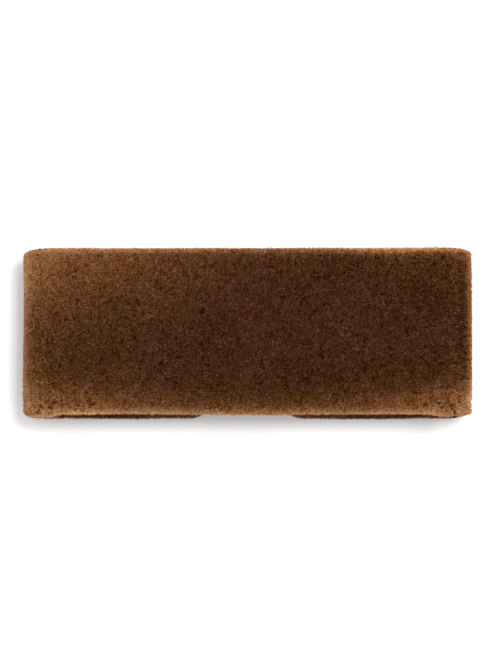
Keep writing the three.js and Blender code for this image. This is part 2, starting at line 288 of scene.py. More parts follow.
# ---------------------------------------------------------------- meshes from arrays
def ring_uv(ns, nu, cap_tris, lo=0.03, hi=0.97):
    """UVs corner by corner for a lofted ring: first those of its end caps' triangles, then of its quads. The face that closes the ring has room of its own."""
    u, v = np.linspace(lo, hi, ns), np.linspace(lo, hi, nu + 1)
    fans = []
    for row_u, mid_u, flip in ((lo, 0.005, False), (hi, 0.995, True)):
        tri = np.stack([np.stack([np.full(nu, row_u), v[:-1]], -1), np.stack([np.full(nu, row_u), v[1:]], -1), np.tile([[mid_u, 0.5]], (nu, 1))], 1)
        fans.append(tri[:, ::-1] if flip else tri)
    i, j = np.meshgrid(np.arange(ns - 1), np.arange(nu), indexing="ij")
    quad = np.stack([np.stack([u[a], v[b]], -1) for a, b in ((i, j), (i + 1, j), (i + 1, j + 1), (i, j + 1))], 2)
    return np.concatenate([np.concatenate(fans).reshape(-1, 2), quad.reshape(-1, 2)])


def mesh_object(name, verts_mm, tris=None, quads=None, smooth_shade=True, uv=None, attrs=None, materials=(), normals=None):
    me = bpy.data.meshes.new(name)
    n_t = 0 if tris is None else len(tris)
    n_q = 0 if quads is None else len(quads)
    me.vertices.add(len(verts_mm))
    me.vertices.foreach_set("co", (np.asarray(verts_mm, np.float32) * MM).ravel())
    loops = np.concatenate([a.ravel() for a in (tris, quads) if a is not None]).astype(np.int32)
    me.loops.add(len(loops))
    me.loops.foreach_set("vertex_index", loops)
    starts = np.concatenate([np.arange(n_t) * 3, n_t * 3 + np.arange(n_q) * 4]).astype(np.int32)
    me.polygons.add(n_t + n_q)
    me.polygons.foreach_set("loop_start", starts)
    me.polygons.foreach_set("use_smooth", np.full(n_t + n_q, smooth_shade))
    if uv is not None:
        uv = np.asarray(uv, np.float32)
        layer = me.uv_layers.new(name="OFBake")
        layer.data.foreach_set("uv", (uv[loops] if len(uv) == len(verts_mm) else uv).ravel())
    for key, values in (attrs or {}).items():
        me.attributes.new(key, "FLOAT", "POINT").data.foreach_set("value", np.asarray(values, np.float32).ravel())
    me.update()
    me.validate()
    if normals is not None:
        me.normals_split_custom_set_from_vertices(normals)
    ob = bpy.data.objects.new(name, me)
    scene.collection.objects.link(ob)
    for m in materials:
        me.materials.append(m)
    return ob


# ---------------------------------------------------------------- materials
SHEEN = 0.22


def new_material(name):
    m = bpy.data.materials.new(name)
    m.use_nodes = True
    nt = m.node_tree
    return m, nt, nt.nodes["Principled BSDF"]


def ramp(nt, stops, interpolation="LINEAR"):
    n = nt.nodes.new("ShaderNodeValToRGB")
    n.color_ramp.interpolation = interpolation
    el = n.color_ramp.elements
    while len(el) > 1:
        el.remove(el[-1])
    el[0].position, el[0].color = stops[0][0], (*stops[0][1], 1)
    for pos, col in stops[1:]:
        e = el.new(pos)
        e.color = (*col, 1)
    return n


def srgb(r, g, b):
    return tuple(((c / 255 + 0.055) / 1.055) ** 2.4 if c > 10 else c / 255 / 12.92 for c in (r, g, b))


# Browns by tone, all in sRGB, the roots darker as painted shade down in the pile; and what one whole step of grain adds
# to the tips, about the same in each channel: a painted white sheen up, a painted warm shade down.
OLIVE_TIPS = [(0.0, (41, 23, 6)), (0.3, (92, 61, 25)), (0.6, (149, 104, 56)), (1.0, (220, 171, 116))]
MAUVE_TIPS = [(0.0, (43, 19, 12)), (0.3, (93, 54, 36)), (0.6, (150, 96, 66)), (1.0, (219, 162, 124))]
OLIVE_ROOTS = [(0.0, (20, 6, 0)), (0.5, (58, 28, 6)), (1.0, (121, 74, 34))]
MAUVE_ROOTS = [(0.0, (18, 4, 1)), (0.5, (55, 23, 12)), (1.0, (116, 67, 41))]
GRAIN_STEP = 0.24                           # a whole step of grain, as a share of the scale of tones
SHEEN_SHADE_RGB = (42, 48, 50)


def wool_material(name):
    """Dark roots to lighter tips; the roots' darkness is painted shade down in the pile. The tuft's tone picks both,
    its shade leads from an olive to a mauve brown, and its grain lifts or sinks
    the tips by as much in each channel: a painted white sheen on the lighter tufts and a painted warm shade on the
    darker ones, in their partings."""
    m, nt, b = new_material(name)
    tone, height, shade, grain_sheen_shade = (nt.nodes.new("ShaderNodeAttribute") for _ in range(4))
    tone.attribute_name, height.attribute_name, shade.attribute_name, grain_sheen_shade.attribute_name = "tone", "height", "shade", "grain_sheen_shade"

    def mixed(fac, a, c):
        mix = nt.nodes.new("ShaderNodeMix"); mix.data_type = "RGBA"
        nt.links.new(fac, mix.inputs[0]); nt.links.new(a, mix.inputs[6]); nt.links.new(c, mix.inputs[7])
        return mix.outputs[2]

    def share(scale, shift):
        k = nt.nodes.new("ShaderNodeMath"); k.operation = "MULTIPLY_ADD"; k.use_clamp = True
        k.inputs[1].default_value, k.inputs[2].default_value = scale, shift
        nt.links.new(grain_sheen_shade.outputs["Fac"], k.inputs[0])
        return k.outputs[0]

    def by_tone(stops, lift=0):
        r = ramp(nt, [(at, srgb(*(max(0, c + lift * k) for c, k in zip(col, SHEEN_SHADE_RGB)))) for at, col in stops])
        nt.links.new(tone.outputs["Fac"], r.inputs[0])
        return r.outputs[0]

    def tips(lift):
        return mixed(shade.outputs["Fac"], by_tone(OLIVE_TIPS, lift), by_tone(MAUVE_TIPS, lift))

    tip = mixed(share(2, -1), mixed(share(2, 0), tips(-1), tips(0)), tips(1))
    root = mixed(shade.outputs["Fac"], by_tone(OLIVE_ROOTS), by_tone(MAUVE_ROOTS))
    # the strands darken from tip to root, painted shade down in the pile
    along = ramp(nt, [(0.0, (0, 0, 0)), (0.45, (0.34, 0.34, 0.34)), (0.9, (1, 1, 1))], "EASE")
    nt.links.new(height.outputs["Fac"], along.inputs[0])
    nt.links.new(mixed(along.outputs[0], root, tip), b.inputs["Base Color"])
    b.inputs["Roughness"].default_value = 0.85
    b.inputs["Specular IOR Level"].default_value = 0.03
    b.inputs["Sheen Weight"].default_value = SHEEN
    b.inputs["Sheen Roughness"].default_value = 0.35
    b.inputs["Sheen Tint"].default_value = (*srgb(194, 130, 82), 1)
    return m


def undercoat_material():
    """What shows between the tufts: the dense lower wool, crinkled and dark; its darkness is painted shade down in the
    pile.
    """
    m, nt, b = new_material("wool_undercoat")
    tone = nt.nodes.new("ShaderNodeAttribute"); tone.attribute_name = "tone"
    coord = nt.nodes.new("ShaderNodeTexCoord")
    fine = nt.nodes.new("ShaderNodeTexNoise"); fine.inputs["Scale"].default_value = 900; fine.inputs["Detail"].default_value = 3; fine.inputs["Roughness"].default_value = 0.65
    nt.links.new(coord.outputs["Object"], fine.inputs["Vector"])
    add = nt.nodes.new("ShaderNodeMath"); add.operation = "MULTIPLY_ADD"; add.inputs[1].default_value = 0.5; add.inputs[2].default_value = -0.25
    nt.links.new(fine.outputs["Fac"], add.inputs[0])
    both = nt.nodes.new("ShaderNodeMath"); both.operation = "ADD"
    nt.links.new(add.outputs[0], both.inputs[0]); nt.links.new(tone.outputs["Fac"], both.inputs[1])
    col = ramp(nt, [(0.0, srgb(26, 8, 1)), (0.4, srgb(64, 34, 12)), (0.8, srgb(110, 66, 30)), (1.0, srgb(150, 98, 52))])
    nt.links.new(both.outputs[0], col.inputs[0])
    nt.links.new(col.outputs[0], b.inputs["Base Color"])
    bump = nt.nodes.new("ShaderNodeBump"); bump.inputs["Strength"].default_value = 0.6; bump.inputs["Distance"].default_value = 0.0005
    nt.links.new(fine.outputs["Fac"], bump.inputs["Height"]); nt.links.new(bump.outputs[0], b.inputs["Normal"])
    b.inputs["Roughness"].default_value = 0.9
    b.inputs["Specular IOR Level"].default_value = 0.03
    return m


def suede_material():
    m, nt, b = new_material("suede")
    coord = nt.nodes.new("ShaderNodeTexCoord")
    broad = nt.nodes.new("ShaderNodeTexNoise"); broad.inputs["Scale"].default_value = 45; broad.inputs["Detail"].default_value = 4
    nap = nt.nodes.new("ShaderNodeTexNoise"); nap.inputs["Scale"].default_value = 700; nap.inputs["Detail"].default_value = 5; nap.inputs["Roughness"].default_value = 0.7
    nt.links.new(coord.outputs["Object"], broad.inputs["Vector"]); nt.links.new(coord.outputs["Object"], nap.inputs["Vector"])
    mixv = nt.nodes.new("ShaderNodeMath"); mixv.operation = "MULTIPLY_ADD"; mixv.inputs[1].default_value = 0.55
    nt.links.new(broad.outputs["Fac"], mixv.inputs[0])
    half = nt.nodes.new("ShaderNodeMath"); half.operation = "MULTIPLY"; half.inputs[1].default_value = 0.45
    nt.links.new(nap.outputs["Fac"], half.inputs[0]); nt.links.new(half.outputs[0], mixv.inputs[2])
    col = ramp(nt, [(0.30, srgb(66, 39, 25)), (0.5, srgb(106, 69, 47)), (0.70, srgb(148, 103, 75))])
    nt.links.new(mixv.outputs[0], col.inputs[0]); nt.links.new(col.outputs[0], b.inputs["Base Color"])
    rough = nt.nodes.new("ShaderNodeMapRange"); rough.inputs[3].default_value = 0.86; rough.inputs[4].default_value = 0.98
    nt.links.new(nap.outputs["Fac"], rough.inputs[0]); nt.links.new(rough.outputs[0], b.inputs["Roughness"])
    bump = nt.nodes.new("ShaderNodeBump"); bump.inputs["Strength"].default_value = 0.35; bump.inputs["Distance"].default_value = 0.0003
    nt.links.new(nap.outputs["Fac"], bump.inputs["Height"]); nt.links.new(bump.outputs[0], b.inputs["Normal"])
    b.inputs["Specular IOR Level"].default_value = 0.15
    b.inputs["Sheen Weight"].default_value = 0.35
    b.inputs["Sheen Roughness"].default_value = 0.6
    b.inputs["Sheen Tint"].default_value = (*srgb(170, 125, 96), 1)
    return m


def knit_material():
    m, nt, b = new_material("elastic_knit")
    coord = nt.nodes.new("ShaderNodeTexCoord")
    sep = nt.nodes.new("ShaderNodeSeparateXYZ")
    nt.links.new(coord.outputs["Object"], sep.inputs[0])
    yarn = nt.nodes.new("ShaderNodeTexWave"); yarn.bands_direction = "Y"; yarn.inputs["Scale"].default_value = 1 / 0.0013 / (2 * math.pi) * 2; yarn.inputs["Distortion"].default_value = 1.2; yarn.inputs["Detail"].default_value = 2; yarn.inputs["Detail Scale"].default_value = 2
    nt.links.new(coord.outputs["Object"], yarn.inputs["Vector"])
    fine = nt.nodes.new("ShaderNodeTexNoise"); fine.inputs["Scale"].default_value = 1600; fine.inputs["Detail"].default_value = 3
    nt.links.new(coord.outputs["Object"], fine.inputs["Vector"])
    tot = nt.nodes.new("ShaderNodeMath"); tot.operation = "MULTIPLY_ADD"; tot.inputs[1].default_value = 0.55
    half = nt.nodes.new("ShaderNodeMath"); half.operation = "MULTIPLY"; half.inputs[1].default_value = 0.45
    nt.links.new(fine.outputs["Fac"], half.inputs[0]); nt.links.new(yarn.outputs["Fac"], tot.inputs[0]); nt.links.new(half.outputs[0], tot.inputs[2])
    col = ramp(nt, [(0.15, srgb(34, 20, 14)), (0.5, srgb(70, 45, 33)), (0.85, srgb(108, 75, 57))])
    nt.links.new(tot.outputs[0], col.inputs[0]); nt.links.new(col.outputs[0], b.inputs["Base Color"])
    bump = nt.nodes.new("ShaderNodeBump"); bump.inputs["Strength"].default_value = 0.5; bump.inputs["Distance"].default_value = 0.0003
    nt.links.new(tot.outputs[0], bump.inputs["Height"]); nt.links.new(bump.outputs[0], b.inputs["Normal"])
    b.inputs["Roughness"].default_value = 0.82
    b.inputs["Specular IOR Level"].default_value = 0.3
    b.inputs["Sheen Weight"].default_value = 0.15
    return m


def thread_material():
    m, nt, b = new_material("sewing_thread")
    coord = nt.nodes.new("ShaderNodeTexCoord")
    ply = nt.nodes.new("ShaderNodeTexWave"); ply.bands_direction = "DIAGONAL"; ply.inputs["Scale"].default_value = 900; ply.inputs["Distortion"].default_value = 0.8
    nt.links.new(coord.outputs["Object"], ply.inputs["Vector"])
    col = ramp(nt, [(0.0, srgb(30, 17, 11)), (1.0, srgb(92, 58, 40))])
    nt.links.new(ply.outputs["Fac"], col.inputs[0]); nt.links.new(col.outputs[0], b.inputs["Base Color"])
    b.inputs["Roughness"].default_value = 0.6
    return m


WOOL_MAT, UNDER_MAT, SUEDE_MAT, KNIT_MAT, THREAD_MAT = wool_material("wool_tips"), undercoat_material(), suede_material(), knit_material(), thread_material()


# ---------------------------------------------------------------- the undercoat: the wool's own closed body
def crease(a, b, cell, width, seed):
    """1 along fine winding partings in the wool, 0 between them."""
    wa, wb = a + cell * 0.6 * noise(a, b, cell * 1.3, seed + 3), b + cell * 0.6 * noise(a, b, cell * 1.3, seed + 4)
    n = 0.72 * noise(wa, wb, cell, seed) + 0.28 * noise(wa, wb, cell * 0.45, seed + 1)
    return np.exp(-((n / width) ** 2))


GRAIN = 0.95                                # mm across one clump of fibre tips
GRAIN_TONE = 0.10                           # how far the clumps differ from each other in tone


def dashes(a, b, size, seed):
    """Short strokes about three times as long as wide, lying this way in one place and that way in the next, from -1 to 1."""
    lying, standing = noise(a * 0.32, b, size, seed), noise(a, b * 0.32, size, seed + 1)
    turn = smooth(0.5 + 1.1 * noise(a, b, size * 3.6, seed + 2))
    return lying * turn + standing * (1 - turn)


# Small deep pits among the curls of the lower corners: x, y, half width along, half width up, turn in degrees.
PITS = [
    (-117.4, -44.4, 0.6, 1.1, 20), (-112.1, -45.2, 0.7, 1.1, 45), (-119.6, -48.0, 0.6, 0.9, -20), (-97.8, -46.0, 0.5, 1.0, -20), (-124.2, -39.4, 0.5, 1.0, 10),
    (-109.5, -41.6, 1.3, 0.5, 10), (-126.0, -45.0, 0.4, 0.9, 0), (111.6, -45.3, 0.6, 1.1, 0), (117.0, -43.8, 0.6, 1.2, 15), (119.2, -48.1, 0.8, 0.6, 20),
    (109.3, -42.0, 1.2, 0.5, -10), (122.6, -41.2, 0.5, 1.1, 20), (96.0, -45.6, 1.2, 0.5, 30), (-88.0, -42.6, 1.2, 0.5, 15),
]


def pits(x, y):
    total = np.zeros(x.shape)
    for px, py, a, b, turn in PITS:
        a, b = 1.35 * a, 1.35 * b
        c, s = math.cos(math.radians(turn)), math.sin(math.radians(turn))
        dx, dy = x - px, y - py
        total = np.maximum(total, np.exp(-(((dx * c + dy * s) / a) ** 2 + ((dy * c - dx * s) / b) ** 2) ** 2))
    return total


def nicks(a, b, cell, seed):
    """Small dark gaps scattered among the curls, each turned its own way: 1 in the middle of a gap."""
    _, da, db, ident = locks(a, b, cell, seed)
    c, s = np.cos(ident * 9), np.sin(ident * 9)
    size = 0.75 + 0.5 * ((ident * 37) % 1)
    return np.exp(-((((da * c + db * s) / (0.85 * size)) ** 2 + ((db * c - da * s) / (0.42 * size)) ** 2) ** 1.5)) * ((ident * 53) % 1 > 0.25)


def lock_field(outer, t, curl, rim, x, y, front):
    """Height of the wool over its mean surface in mm, how light or dark each small lock is, and how deep a parting is
    here. The partings are darkened as painted shade, and callers darken by the depth as painted shade too.
    """
    big = np.clip(curl, 0, 1)
    fine, mid_ = dashes(outer, t, 0.60, 411), dashes(outer, t, 1.5, 431)
    c1, c2 = crease(outer, t, 2.3, 0.15 + 0.13 * big, 41), crease(outer, t, 3.8, 0.24, 83)
    broken = smooth(1.4 * noise(outer, t, 3.3, 85) + 0.5)
    pit = pits(x, y) * front
    dark = np.maximum(0.85 * smooth((-fine - 0.42) / 0.36), 0.86 * crease(outer, t, 1.25, 0.15, 61) * smooth(1.0 * noise(outer, t, 1.6, 65) + 0.45))
    knob, _, _, knob_id = locks(outer, t, 3.3, 91)
    between = smooth((knob / 3.3 - 0.36) / 0.22) * smooth((knob_id + 0.6 * noise(outer, t, 1.9, 93) - 0.25) / 0.3) * big
    h = 0.14 * fine - 0.24 * dark + 0.05 * mid_ + big * 0.30 * fbm(outer, t, 3.8, 73, 2) + 0.15 * big - 0.50 * between
    nick = nicks(outer, t, 2.5, 501)
    h = h - np.maximum((0.05 + 0.4 * big) * c1, 0.5 * big * c2) * broken - 1.7 * pit - 1.0 * nick * big + 0.06
    lively = 1 + 0.2 * noise(outer, t, 6.5, 443)
    # lighter or darker at random, and darker in the partings and between the knobs: painted shade
    tone = lively * (1 - 0.6 * big) * (0.07 * np.clip(fine, -0.3, 1) - 0.36 * dark) + 0.02 * mid_ + (0.02 + 0.05 * big + 0.04 * rim) * noise(outer, t, 2.6, 48) + 0.04 + 0.07 * big * (1 - between)
    # how far the wool sinks in partings, between knobs, in pits and nicks; the callers darken the wool by this, painted
    # shade
    deep = np.clip(np.maximum((0.08 + 0.35 * big + 0.12 * rim) * c1 * broken, 0.45 * big * c2 * broken) + 0.25 * between + 1.6 * pit + 1.15 * nick * big, 0, 1.7)
    return h, tone, deep


def build_undercoat():
    outers = np.linspace(0, OUTER_END, 400)
    runs = run_of(outers)
    us = np.concatenate([np.linspace(0, 1, 35)[:-1], np.linspace(1, 2, 9)[:-1], np.linspace(2, 3, 4)[:-1], np.linspace(3, 4, 3)])
    u = np.concatenate([us[::-1], us[1:]])
    side = np.concatenate([-np.ones(len(us)), np.ones(len(us) - 1)])
    R, U = np.meshgrid(runs, u, indexing="ij")
    S = np.broadcast_to(side, R.shape)
    outer, t, x, y, front, rim, fold, curl = fur_facts(R, U, S)
    h, ident, deep = lock_field(outer, t, curl, rim, x, y, front)
    sunk = 0.55 * front * (1 - 0.6 * rim)
    shrink = 1.35 + sunk - 0.8 * np.clip(h, -1.9, 0.8)
    shrink = np.clip(shrink, 0.7 + sunk, 3.4) * np.where(U > 3.5, 0.6, 1)
    P = wool_surface(R, U, S, shrink)
    P[..., 2] = np.maximum(P[..., 2], 0.35)
    ns, nu = R.shape
    verts = P.reshape(-1, 3)
    idx = np.arange(ns * nu).reshape(ns, nu)
    a, b = idx[:-1, :], idx[1:, :]
    nxt = lambda g: np.roll(g, -1, axis=1)
    quads = np.stack([a, b, nxt(b), nxt(a)], -1).reshape(-1, 4)
    # close the two ends with a fan to a middle point
    caps = []
    for row, flip in ((0, False), (ns - 1, True)):
        c = len(verts)
        verts = np.vstack([verts, P[row].mean(0)])
        ring = idx[row]
        tri = np.stack([ring, np.roll(ring, -1), np.full(nu, c)], -1)
        caps.append(tri[:, ::-1] if flip else tri)
    tris = np.concatenate(caps)
    # darker by how deep the wool sinks, painted shade; lighter on the back layer's rims, painted light against the
    # shade under the front
    tone = (tone_at(R, U, S) - 0.25 * deep + 0.6 * ident + 0.10 * rim * (1 - front)).reshape(-1)
    tone = np.concatenate([tone, [0.2, 0.2]])
    # the faces that close the ring lie on the skin and never show
    return mesh_object("wool_undercoat", verts, tris, quads, True, ring_uv(ns, nu, caps), {"tone": np.clip(tone, 0, 1)}, [UNDER_MAT])


# ---------------------------------------------------------------- tufts
def spread(count, r_lo, r_hi, u_lo, u_hi, seed, weight=None):
    """count points spread evenly over a stretch of the wool: outer run from r_lo to r_hi, |u| from u_lo to u_hi, both sides."""
    nr, nu = 260, 90
    o = np.linspace(r_lo, r_hi, nr + 1)
    oc = (o[1:] + o[:-1]) / 2
    ue = np.linspace(-u_hi, u_hi, 2 * nu + 1) if u_lo <= 0 else np.concatenate([np.linspace(-u_hi, -u_lo, nu + 1), np.linspace(u_lo, u_hi, nu + 1)])
    keep = np.ones(len(ue) - 1, bool)
    if u_lo > 0:
        keep[nu] = False
    uc = (ue[1:] + ue[:-1]) / 2
    R, U = np.meshgrid(run_of(oc), uc, indexing="ij")
    side = np.sign(U); side[side == 0] = 1
    # cell areas from neighbouring points
    Re, Ue = np.meshgrid(run_of(o), ue, indexing="ij")
    Se = np.where(Ue < 0, -1.0, 1.0)
    P = wool_surface(Re, np.abs(Ue), Se)
    e1, e2 = P[1:, :-1] - P[:-1, :-1], P[:-1, 1:] - P[:-1, :-1]
    area = np.linalg.norm(np.cross(e1, e2), axis=-1) * keep[None, :]
    if weight is not None:
        area = area * weight(R, np.abs(U), side)
    rows = area.sum(1)
    cum_rows = np.concatenate([[0], np.cumsum(rows)]) / rows.sum()
    cum = np.concatenate([np.zeros((nr, 1)), np.cumsum(area, 1)], 1) / np.maximum(rows[:, None], 1e-12)
    k = np.arange(count)
    g = 1.32471795724474602596
    a, b = (0.5 + k / g) % 1, (0.5 + k / g ** 2) % 1
    rng = np.random.default_rng(seed)
    a = np.clip(a + rng.normal(0, 0.22, count) / math.sqrt(count), 0, 1 - 1e-9)
    b = np.clip(b + rng.normal(0, 0.22, count) / math.sqrt(count), 0, 1 - 1e-9)
    i = np.clip(np.searchsorted(cum_rows, a, side="right") - 1, 0, nr - 1)
    fa = (a - cum_rows[i]) / np.maximum(cum_rows[i + 1] - cum_rows[i], 1e-12)
    outer = o[i] + (o[i + 1] - o[i]) * fa
    flat = (cum + np.arange(nr)[:, None] * 2).ravel()
    j = np.clip(np.searchsorted(flat, b + i * 2, side="right") - 1 - i * (cum.shape[1]), 0, cum.shape[1] - 2)
    c0, c1 = cum[i, j], cum[i, j + 1]
    fb = (b - c0) / np.maximum(c1 - c0, 1e-12)
    uu = ue[j] + (ue[j + 1] - ue[j]) * np.clip(fb, 0, 1)
    return run_of(outer), np.abs(uu), np.where(uu < 0, -1.0, 1.0)


NORMAL_KEEP = 0.58


def tufts(name, count, r_lo, r_hi, u_lo, u_hi, seed, root=2.8, width=0.60, length=1.0, lean=0.9, bent=False, weight=None, tone_lift=0.0, stray=0.0, reach=0.0):
    """One mesh of closed little tufts. Each starts inside the undercoat and ends at the wool's outer form, drawn towards the middle of its clump."""
    run, u, side = spread(count, r_lo, r_hi, u_lo, u_hi, seed, weight)
    rng = np.random.default_rng(seed + 1)
    n = count
    outer, t, x, y, front, rim, fold, curl = fur_facts(run, u, side)
    # which way each strand leans, along the strip and across it; what shows is its tip, so the lock and clump that count are those its tip lies in
    _, ga, gb, _ = locks(outer, t, GRAIN, 311)
    lean = lean * (1 - 0.65 * curl)
    la = 0.5 * ga + lean * (0.5 * fbm(outer, t, 11, 23, 2) + 0.55 * noise(outer, t, 2.0, 29) + 0.75 * rng.normal(0, 0.5, n))
    lb = 0.5 * gb + lean * (0.5 * fbm(outer, t, 11, 24, 2) + 0.55 * noise(outer, t, 2.0, 30) + 0.75 * rng.normal(0, 0.5, n))
    h, ident, deep = lock_field(outer + la, t + lb, curl, rim, x + la, y + lb, front)
    _, _, deep_base = lock_field(outer, t, curl, rim, x, y, front)
    h = h - 0.8 * np.maximum(0, deep_base - deep)
    sunken = smooth(np.maximum(deep, deep_base))
    g, _, _, gid = locks(outer + la, t + lb, GRAIN, 311)
    gap = smooth((g / GRAIN - 0.22) / 0.42)
    base = wool_surface(run, u, side, root + 0.8 * np.clip(-h - 0.5, 0, 2))
    out_h = h + 0.02 + 0.22 * (gid - 0.5) - 0.28 * gap + rng.normal(0, 0.11, n) + reach - 0.55 * smooth((x - 122) / 6) * smooth((-y - 34) / 8) * (1 - smooth((-y - 43) / 4))
    # beside the folds the front's wool hangs a little over the wings' lower edge
    out_h = out_h + 1.6 * front * smooth((u - 1.2) / 0.5) * (side < 0) * np.exp(-(((np.abs(x) - 114.5 + 1.0 * (x > 0)) / 5.5) ** 4))
    out_h = np.where(rng.random(n) < stray, out_h + rng.random(n) * 0.9, out_h)
    tip = wool_surface(run, u, side, -out_h * length)
    # directions along the strip and across it
    ahead = wool_surface(np.clip(run + 0.3, 0, RUN_END), u, side) - wool_surface(np.clip(run - 0.3, 0, RUN_END), u, side)
    along = ahead / np.maximum(np.linalg.norm(ahead, axis=1, keepdims=True), 1e-9)
    over = (wool_surface(run, np.minimum(u + 0.02, 4), side) - wool_surface(run, np.maximum(u - 0.02, 0), side)) * side[:, None]
    across = over / np.maximum(np.linalg.norm(over, axis=1, keepdims=True), 1e-9)
    up = tip - base
    up /= np.maximum(np.linalg.norm(up, axis=1, keepdims=True), 1e-9)
    sink = 0.10 * (la ** 2 + lb ** 2)
    tip = tip + along * la[:, None] + across * lb[:, None] - up * sink[:, None]
    tip[:, 2] = np.clip(tip[:, 2], 0.05, None)
    base[:, 2] = np.clip(base[:, 2], 0.4, None)
    left_edge = smooth((-x - HALF + 4) / 4) * smooth((30 - y) / 16)
    # a tuft's own tone: its lock's and clump's tone at random, noise and some darker tufts, with painted shade by the
    # depth of partings, pits and nicks and at the clumps' edges
    own = ident - 0.33 * deep + 0.05 * curl + GRAIN_TONE * (gid - 0.5) - 0.08 * gap + np.minimum(rng.normal(0, 0.08, n), 0.06) - 0.20 * (rng.random(n) < 0.15)
    edge = 0.35 * smooth((x - HALF + 4) / 4) + 0.60 * left_edge
    calm = 0.20 * np.exp(-((x - 18) / 74) ** 2 - (y / 34) ** 2) + 0.14 * smooth((y - 30) / 10) * smooth((-x - 95) / 20) + 0.08 * smooth((-y - 26) / 8) * smooth((x - 60) / 30) - 0.12 * smooth((y - 24) / 12) * smooth((x - 50) / 30)
    own = (0.56 + front * (0.32 - calm)) * np.where(own > 0, own * (1 - 0.50 * curl), own) + 0.01
    # that tone goes to the tips as equal steps in each channel, a painted white sheen up and a painted warm shade down
    grain_sheen_shade = np.clip(np.round(2 * own / GRAIN_STEP) / 2, -1, 1)
    grain_sheen_shade = np.clip(grain_sheen_shade - np.round(left_edge + 0.2 * rng.random(n)) / 2 - np.round(1 - front) / 2, -1, 1)
    tone = np.clip(tone_at(run, u, side) + tone_lift + own - GRAIN_STEP * grain_sheen_shade, 0.03, 0.97)
    # olive to mauve brown, in three shades: broad patches, and more mauve towards the middle of the face
    cool = 0.36 + 0.5 * front * np.exp(-(((x - 8) / 46) ** 2) - ((y - 8) / 44) ** 2) + 0.34 * fbm(outer, t, 22, 131, 2) + 0.14 * noise(outer, t, 5.5, 133) + edge
    shade = np.clip(np.floor(cool * 2 + rng.random(n)), 0, 2)
    # strands light down to their roots where the edges carry painted sheen
    pale = np.clip(painted_edge_sheen(run, u, side, x, y) * 1.3, 0, 0.6)
    return tuft_mesh(name, base, tip, up, tone, shade, grain_sheen_shade, width * (0.75 + 0.5 * rng.random(n)) * (1 + 0.15 * curl - 0.5 * sunken), rng, bent, pale)


def tuft_mesh(name, base, tip, up, tone, shade, grain_sheen_shade, w, rng, bent, pale):
    """Closed spikes from base to tip: straight ones have three sides, bent ones a second ring half way up. Their colour
    darkens towards the roots, painted shade down in the pile; pale is the share by which the strands are light down to
    the roots, painted light that lifts that shade.
    """
    n = len(base)
    axis = tip - base
    long = np.linalg.norm(axis, axis=1, keepdims=True)
    axis = axis / np.maximum(long, 1e-9)
    ref = np.where(np.abs(axis[:, 2:3]) > 0.7, np.array([[1.0, 0.2, 0.0]]), np.array([[0.1, 0.0, 1.0]]))
    A = np.cross(axis, ref); A /= np.linalg.norm(A, axis=1, keepdims=True)
    B = np.cross(axis, A)
    ang = (rng.random(n) * 2 * math.pi)[:, None] + np.arange(3)[None, :] * 2 * math.pi / 3
    circle = np.cos(ang)[..., None] * A[:, None] + np.sin(ang)[..., None] * B[:, None]
    ring0 = base[:, None] + circle * w[:, None, None]
    if bent:
        bend = (A * rng.normal(0, 0.22, (n, 1)) + B * rng.normal(0, 0.22, (n, 1))) * np.minimum(long, 3) / 2
        ring1 = (base + (tip - base) * 0.55 + bend)[:, None] + circle * (w * 0.82)[:, None, None]
        verts = np.concatenate([ring0, ring1, tip[:, None]], 1)
        local = np.array([[0, 1, 4], [0, 4, 3], [1, 2, 5], [1, 5, 4], [2, 0, 3], [2, 3, 5], [3, 4, 6], [4, 5, 6], [5, 3, 6], [0, 2, 1]])
        height = np.array([0.02, 0.05, 0.08, 0.50, 0.55, 0.60, 1.0])
        e = np.array([-1, 0.2, 1, -0.8, 0.1, 0.8, 0.0])
    else:
        verts = np.concatenate([ring0, tip[:, None]], 1)
        local = np.array([[0, 1, 3], [1, 2, 3], [2, 0, 3], [0, 2, 1]])
        height = np.array([0.05, 0.10, 0.15, 1.0])
        e = np.array([-1, 0.2, 1, 0.0])
    k = verts.shape[1]
    tris = (local[None] + (np.arange(n) * k)[:, None, None]).reshape(-1, 3)
    tone_v = np.clip(tone[:, None] + 0.012 * e[None], 0.0, 1.0)
    height_v = height[None] + (1 - height[None]) * pale[:, None]
    height_v = height_v - 0.02 * (height[None] < 0.9) * np.arange(k)[None] / k
    shade_v = np.broadcast_to(shade[:, None], (n, k))
    grain_v = np.broadcast_to(grain_sheen_shade[:, None], (n, k))
    # the map lays tone out one way and, the other way, a band for each shade and grain with height running up it
    uv = np.stack([tone_v, (shade_v * 5 + 2 + 2 * grain_v + height_v * 0.9 + 0.05) / 15], -1).reshape(-1, 2)
    # the tufts take much of their shading from the wool's own surface, as a dense pile does
    lean_n = up + 0.25 * (tip - base - up * np.einsum("ij,ij->i", tip - base, up)[:, None])
    ring_n = NORMAL_KEEP * up[:, None] + (1 - NORMAL_KEEP) * 1.3 * circle
    parts_n = [ring_n, ring_n, lean_n[:, None]] if bent else [ring_n, lean_n[:, None]]
    normals = np.concatenate(parts_n, 1).reshape(-1, 3)
    normals /= np.maximum(np.linalg.norm(normals, axis=1, keepdims=True), 1e-9)
    return mesh_object(name, verts.reshape(-1, 3), tris, None, True, uv, {"tone": tone_v, "height": height_v, "shade": shade_v / 2, "grain_sheen_shade": (grain_v + 1) / 2}, [WOOL_MAT], normals)


